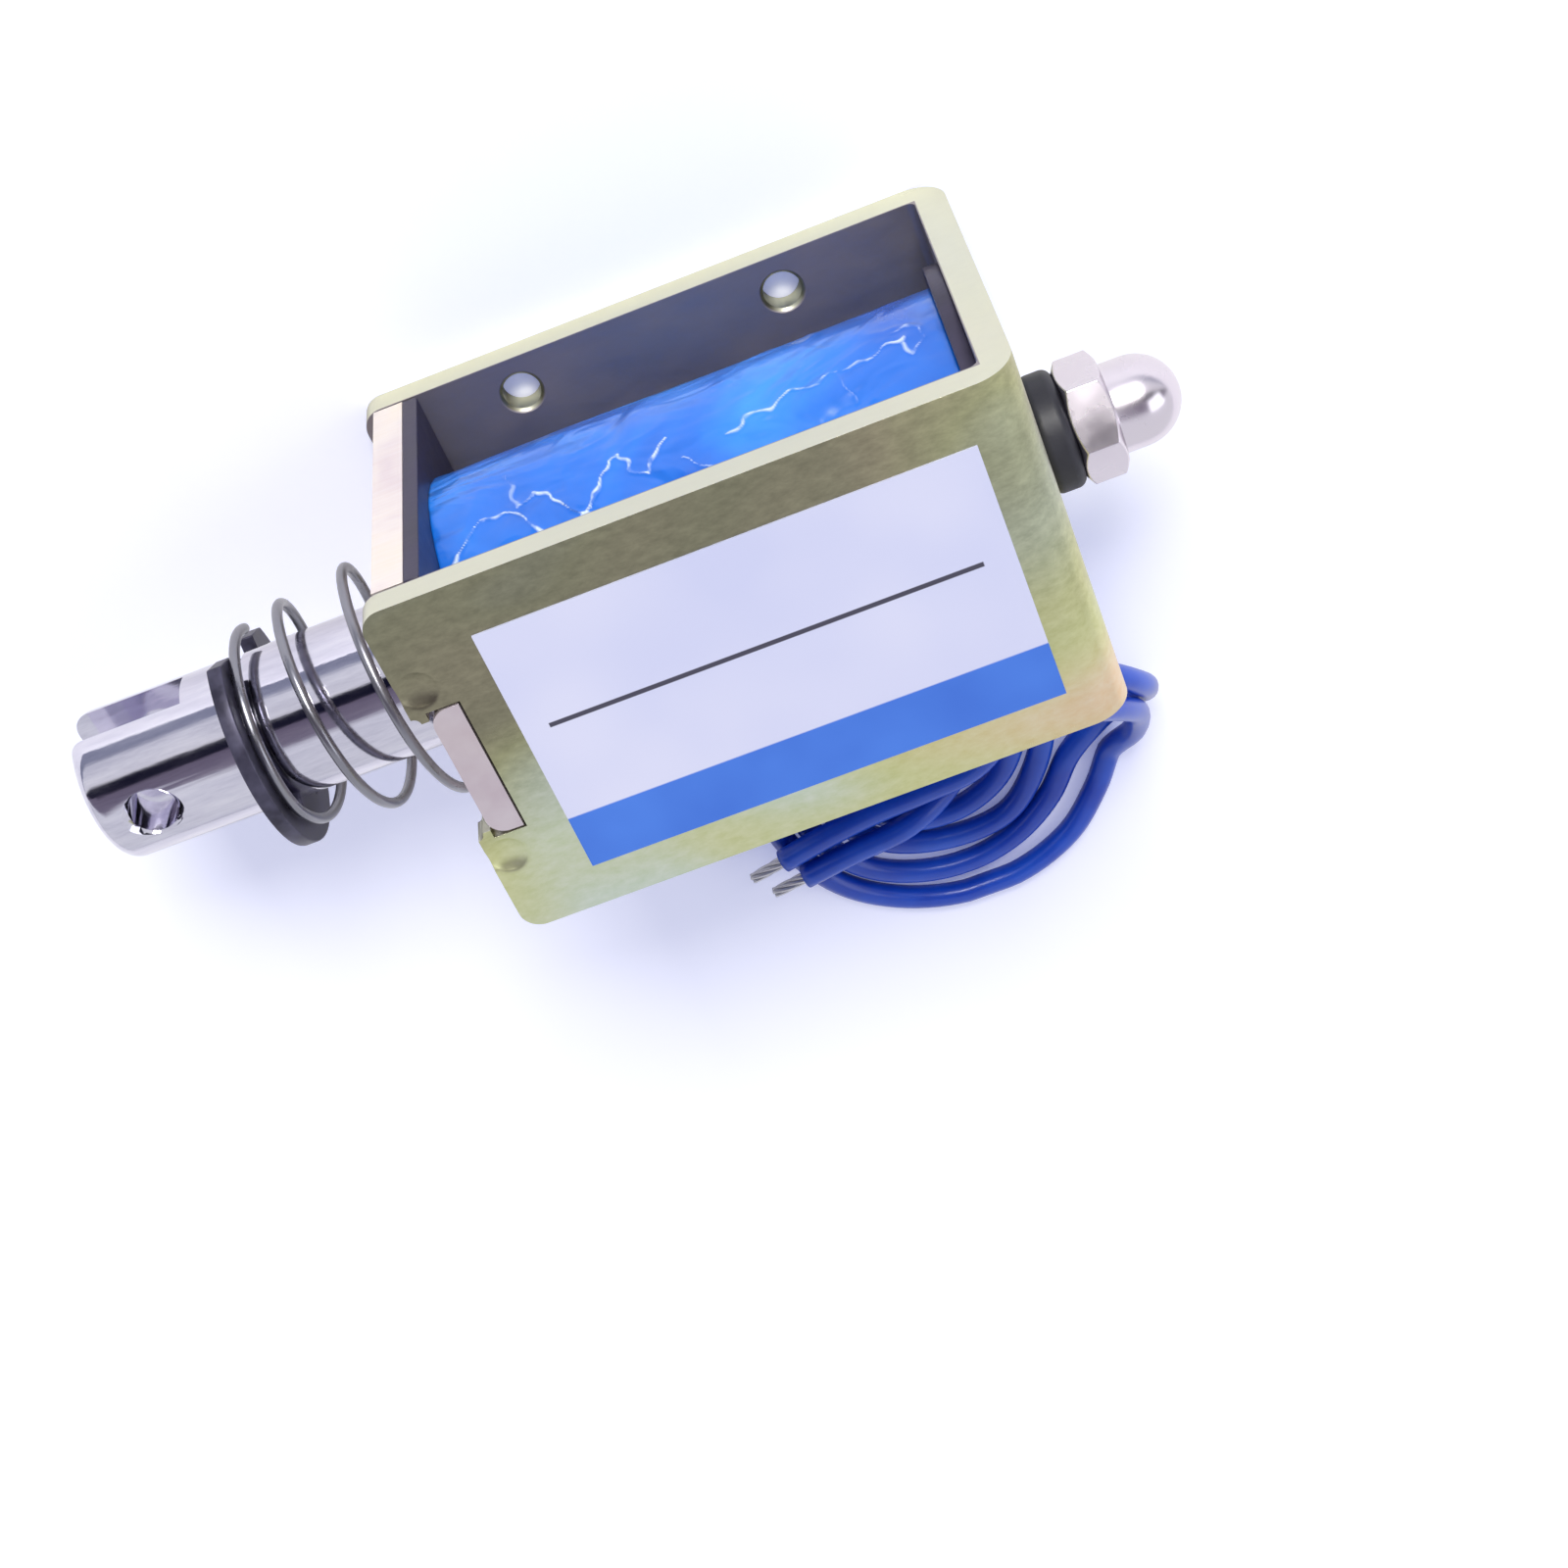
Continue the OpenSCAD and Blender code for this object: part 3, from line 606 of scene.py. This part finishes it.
ROUTE_B = [
    (EXIT_X, EXIT_Y, EXIT_Z + EXIT_DZ),
    (EXIT_X, EXIT_Y - 3, EXIT_Z + EXIT_DZ), (16.3, -18.8, 14.2),
    (18.6, -22.3, 11.8), (20.5, -25.3, 9), (21.5, -28.6, 5.7),
    (20.9, -32, 3), (18.8, -34.6, FLOOR_Z), (17, -37.4, FLOOR_Z),
    (14, -40.6, FLOOR_Z), (9.8, -42.5, FLOOR_Z), (5.2, -42.7, FLOOR_Z),
    (0.8, -41.3, FLOOR_Z), (-3, -38.4, FLOOR_Z), (-5.4, -34.2, FLOOR_Z),
    (-6.3, -29.5, FLOOR_Z), (-5.6, -24.8, FLOOR_Z), (-3.2, -20.6, FLOOR_Z),
    (0.6, -17.8, FLOOR_Z), (5.3, -16.7, FLOOR_Z), (10, -17.6, FLOOR_Z),
    (13.7, -20.6, FLOOR_Z), (15.5, -25, FLOOR_Z), (15.2, -29.6, FLOOR_Z),
    (13.2, -33.8, FLOOR_Z), (10.1, -36.8, FLOOR_Z), (5.6, -37.2, FLOOR_Z),
    (1.3, -35.7, FLOOR_Z), (-1.5, -32.4, FLOOR_Z), (-2, -28.3, FLOOR_Z),
    (-0.4, -24.4, FLOOR_Z), (3.1, -22.1, FLOOR_Z), (7.2, -22.4, FLOOR_Z),
    (9.9, -25.3, FLOOR_Z), (9.8, -29.1, FLOOR_Z), (7, -32.1, 1.5),
    (3.2, -33.3, 2.9), (-1.4, -33.8, OVER_Z), (-5.4, -34.6, 2.9)]


PATH_STEPS = 6            # points on the line between two of the route's
LEAD_SIDES = 20
STRANDS = 7
STRAND_R = 0.155 * MM
STRAND_RING = 0.3 * MM    # six strands lie round the first at this radius
STRAND_TWIST = 0.35       # of a turn, over the bare length
STRAND_STEPS = 12
STRAND_SIDES = 8


def smooth_path(points):
    """A Catmull-Rom line through the points, held inside the box that the points fill."""
    p = [Vector(q) * MM for q in points]
    p = [2 * p[0] - p[1], *p, 2 * p[-1] - p[-2]]
    line = []
    for a, b, c, d in zip(p, p[1:], p[2:], p[3:]):
        for i in range(PATH_STEPS):
            t = i / PATH_STEPS
            line.append(0.5 * ((2 * b) + (c - a) * t + (2 * a - 5 * b + 4 * c - d) * t * t
                               + (3 * b - a - 3 * c + d) * t ** 3))
    line.append(p[-2])
    low = [min(q[k] for q in p[1:-1]) for k in range(3)]
    high = [max(q[k] for q in p[1:-1]) for k in range(3)]
    return [Vector([min(max(v, least), most) for v, least, most in zip(q, low, high)])
            for q in line]


def lead(letter, points, material, strands):
    """One lead as a free cord along its route, with its bare end."""
    path = smooth_path(points)
    name = "lead_" + letter
    piece = new_piece(name + "_wire", tube_mesh(name, path, LEAD_D / 2 * MM, LEAD_SIDES), material,
                      "solenoid", name)
    tip = bare_end(letter, path, strands)


def bare_end(letter, path, material):
    """Seven tinned strands with a slight twist, out of the end of the insulation."""
    low, high = (Vector(c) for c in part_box("lead_tip_" + letter))
    ahead = (path[-1] - path[-2]).normalized()
    length = (high - low).length * 0.9  # the box's diagonal is a little longer than the tip
    side = ahead.orthogonal().normalized()
    other = ahead.cross(side)
    work = bmesh.new()
    for strand in range(STRANDS):
        ring = 0 if strand == 0 else STRAND_RING
        line = []
        for i in range(STRAND_STEPS + 1):
            t = i / STRAND_STEPS
            a = 2 * math.pi * (strand / (STRANDS - 1) + STRAND_TWIST * t)
            spread = ring * (1 + 0.12 * t * math.sin(strand * 2.1))
            aside = spread * (math.cos(a) * side + math.sin(a) * other)
            line.append(path[-1] + ahead * (length * t) + aside)
        part = tube_mesh("strand", line, STRAND_R, STRAND_SIDES)
        work.from_mesh(part)
        bpy.data.meshes.remove(part)
    name = "lead_end_" + letter
    mesh = bpy.data.meshes.new(name)
    work.to_mesh(mesh)
    work.free()
    return new_piece(name, mesh, material, "solenoid", "lead_tip_" + letter)


# ---------------------------------------------------------------- camera, light, floor

CAMERA_AT = Vector((16.061, 83.19, 152.244)) * MM
CAMERA_RIGHT = Vector((0.9338, -0.33682, 0.12075))
CAMERA_UP = Vector((0.34121, 0.73664, -0.5839))
CAMERA_LENS_MM = 59.165
FLOOR_HALF = 1.2
FLOOR_DROP = 0.02 * MM  # keeps the floor clear of the faces that stand on it


def camera():
    """The photograph's view: from above the +Y side, with the plunger to the left."""
    data = bpy.data.cameras.new("camera")
    data.lens = CAMERA_LENS_MM
    data.sensor_width = 36
    data.clip_start = 0.005
    obj = bpy.data.objects.new("camera", data)
    bpy.context.scene.collection.objects.link(obj)
    back = CAMERA_RIGHT.cross(CAMERA_UP).normalized()
    up = back.cross(CAMERA_RIGHT).normalized()
    obj.matrix_world = Matrix.Translation(CAMERA_AT) @ Matrix(
        (CAMERA_RIGHT, up, back)).transposed().to_4x4()
    bpy.context.scene.camera = obj


def softbox(name, place, target, size, power, colour):
    """A rectangular area lamp that faces the target."""
    data = bpy.data.lights.new(name, "AREA")
    data.shape = "RECTANGLE"
    data.size, data.size_y = size
    data.energy = power
    data.color = colour
    obj = bpy.data.objects.new(name, data)
    bpy.context.scene.collection.objects.link(obj)
    obj.location = place
    obj.rotation_euler = (Vector(target) - Vector(place)).to_track_quat("-Z", "Y").to_euler()


def light():
    """A strong key from the +Y side, and a weak fill from the nut end."""
    middle = (0, 0, 0.013)
    softbox("key", (0.16, 1.06, 0.86), middle, (0.5, 0.42), 15, (1, 0.985, 0.96))
    softbox("fill", (0.9, 0.05, 0.9), middle, (0.6, 0.9), 2.6, (0.94, 0.97, 1))


# the room round the object, by elevation about the X axis from the +Y horizon over the top to the
# -Y horizon, degrees: a dim room, a window, the dark of the camera's place, a ceiling, a white wall
ROOM = [(-8, (0.80, 0.82, 0.92)), (0, (0.34, 0.36, 0.48)), (14, (0.36, 0.38, 0.50)),
        (21, (0.92, 0.93, 1.0)), (50, (0.95, 0.95, 1.0)),
        (53, (0.012, 0.012, 0.03)), (66, (0.012, 0.012, 0.03)),
        (69, (0.20, 0.17, 0.24)), (92, (0.26, 0.23, 0.31)),
        (102, (0.92, 0.93, 1.0)), (170, (0.94, 0.95, 1.0)), (188, (0.8, 0.82, 0.92))]
ROOM_STRENGTH = 0.8


def world():
    """The room as the object sees it, and plain white as the camera does."""
    w = bpy.data.worlds.new("studio")
    bpy.context.scene.world = w
    w.use_nodes = True
    tree = w.node_tree
    tree.nodes.clear()
    make, link = tree.nodes.new, tree.links.new
    parts = make("ShaderNodeSeparateXYZ")
    link(make("ShaderNodeTexCoord").outputs["Generated"], parts.inputs["Vector"])
    angle = make("ShaderNodeMath")
    angle.operation = "ARCTAN2"
    link(parts.outputs["Z"], angle.inputs[0])
    link(parts.outputs["Y"], angle.inputs[1])
    low, high = math.radians(ROOM[0][0]), math.radians(ROOM[-1][0])
    place = make("ShaderNodeMapRange")
    place.inputs["From Min"].default_value = low
    place.inputs["From Max"].default_value = high
    link(angle.outputs["Value"], place.inputs["Value"])
    ramp = make("ShaderNodeValToRGB")
    fill_ramp(ramp.color_ramp, [((math.radians(degrees) - low) / (high - low), (*colour, 1))
                                for degrees, colour in ROOM])
    link(place.outputs["Result"], ramp.inputs["Fac"])
    room = make("ShaderNodeBackground")
    link(ramp.outputs["Color"], room.inputs["Color"])
    room.inputs["Strength"].default_value = ROOM_STRENGTH
    shown = make("ShaderNodeBackground")
    shown.inputs["Color"].default_value = (1, 1, 1, 1)
    pick = make("ShaderNodeMixShader")
    link(make("ShaderNodeLightPath").outputs["Is Camera Ray"], pick.inputs[0])
    link(room.outputs[0], pick.inputs[1])
    link(shown.outputs[0], pick.inputs[2])
    link(pick.outputs[0], make("ShaderNodeOutputWorld").inputs["Surface"])


def floor():
    """A pale paper floor. The camera sees its shadows faintly blue, and it fades to white further out."""
    mesh = bpy.data.meshes.new("floor")
    corners = [(x * FLOOR_HALF, y * FLOOR_HALF, 0) for x, y in ((-1, -1), (1, -1), (1, 1), (-1, 1))]
    mesh.from_pydata(corners, [], [(0, 1, 2, 3)])
    obj = bpy.data.objects.new("floor", mesh)
    bpy.context.scene.collection.objects.link(obj)
    obj.location.z = CAD_BOX[0][2] - FLOOR_DROP
    n = Nodes("floor_paper")
    n.tree.nodes.remove(n.bsdf)
    paper = n.add("ShaderNodeBsdfDiffuse")
    paper.inputs["Color"].default_value = (0.93, 0.93, 0.95, 1)
    seen_paper = n.add("ShaderNodeBsdfDiffuse")
    seen_paper.inputs["Color"].default_value = (0.88, 0.88, 0.88, 1)
    lift = n.add("ShaderNodeEmission")
    distance = n.add("ShaderNodeVectorMath", operation="LENGTH")
    n.link(n.coord, distance.inputs[0])
    away = n.range(distance.outputs["Value"], 0.09, 0.35)
    n.link(n.mix(away, (0.15, 0.17, 0.32, 1), (1, 1, 1, 1)), lift.inputs["Color"])
    seen = n.add("ShaderNodeAddShader")
    n.link(seen_paper.outputs[0], seen.inputs[0])
    n.link(lift.outputs[0], seen.inputs[1])
    pick = n.add("ShaderNodeMixShader")
    n.link(n.add("ShaderNodeLightPath").outputs["Is Camera Ray"], pick.inputs[0])
    n.link(paper.outputs[0], pick.inputs[1])
    n.link(seen.outputs[0], pick.inputs[2])
    n.link(pick.outputs[0], n.out.inputs["Surface"])
    give(obj, n.mat)


# ---------------------------------------------------------------- build

camera()
world()
light()
floor()
bpy.context.scene.view_settings.view_transform = "Standard"

rubber = moulded_black("black_rubber", srgb(26, 26, 34), srgb(48, 48, 60), 0.42, 0.6)
bobbin_plastic = moulded_black("bobbin_plastic", srgb(38, 34, 54), srgb(56, 50, 76), 0.3, 0.45)
bright_nickel = plated("bright_nickel", srgb(214, 212, 226), 0.1, 0.2)
nut_plate = plated("nut_plate", srgb(234, 226, 234), 0.2, 0.34)
spring_steel = plated("spring_wire", srgb(150, 150, 158), 0.22, 0.36)
turned_steel = plated("turned_steel", srgb(170, 168, 166), 0.25, 0.4)
tinned = plated("tinned_copper", srgb(208, 208, 214), 0.25, 0.4)
pvc = blue_pvc()
cloth = sleeve_cloth()

broken_edges("frame", 0.16 * MM, yellow_zinc(), "solenoid")
broken_edges("end_plate", 0.12 * MM, pale_zinc(), "solenoid")
broken_edges("bobbin", 0.1 * MM, bobbin_plastic, "solenoid")
broken_edges("plunger", 0.12 * MM, worn_chrome(), "moving_plunger")
broken_edges("retaining_clip", 0.12 * MM, black_oxide(), "moving_plunger")
broken_edges("cap_nut", 0.08 * MM, nut_plate, "moving_plunger")
taped_coil(blue_tape())
spring(spring_steel)
lead("a", ROUTE_A, pvc, tinned)
lead("b", ROUTE_B, pvc, tinned)
for node, material in (("label", label_film()), ("rubber_ring", rubber), ("push_rod", bright_nickel),
                       ("coil_winding", copper()), ("guide_tube", brass()), ("fixed_core", turned_steel),
                       ("lead_splice_a", cloth), ("lead_splice_b", cloth)):
    give(frame["nodes"][node], material)

bpy.context.view_layer.update()
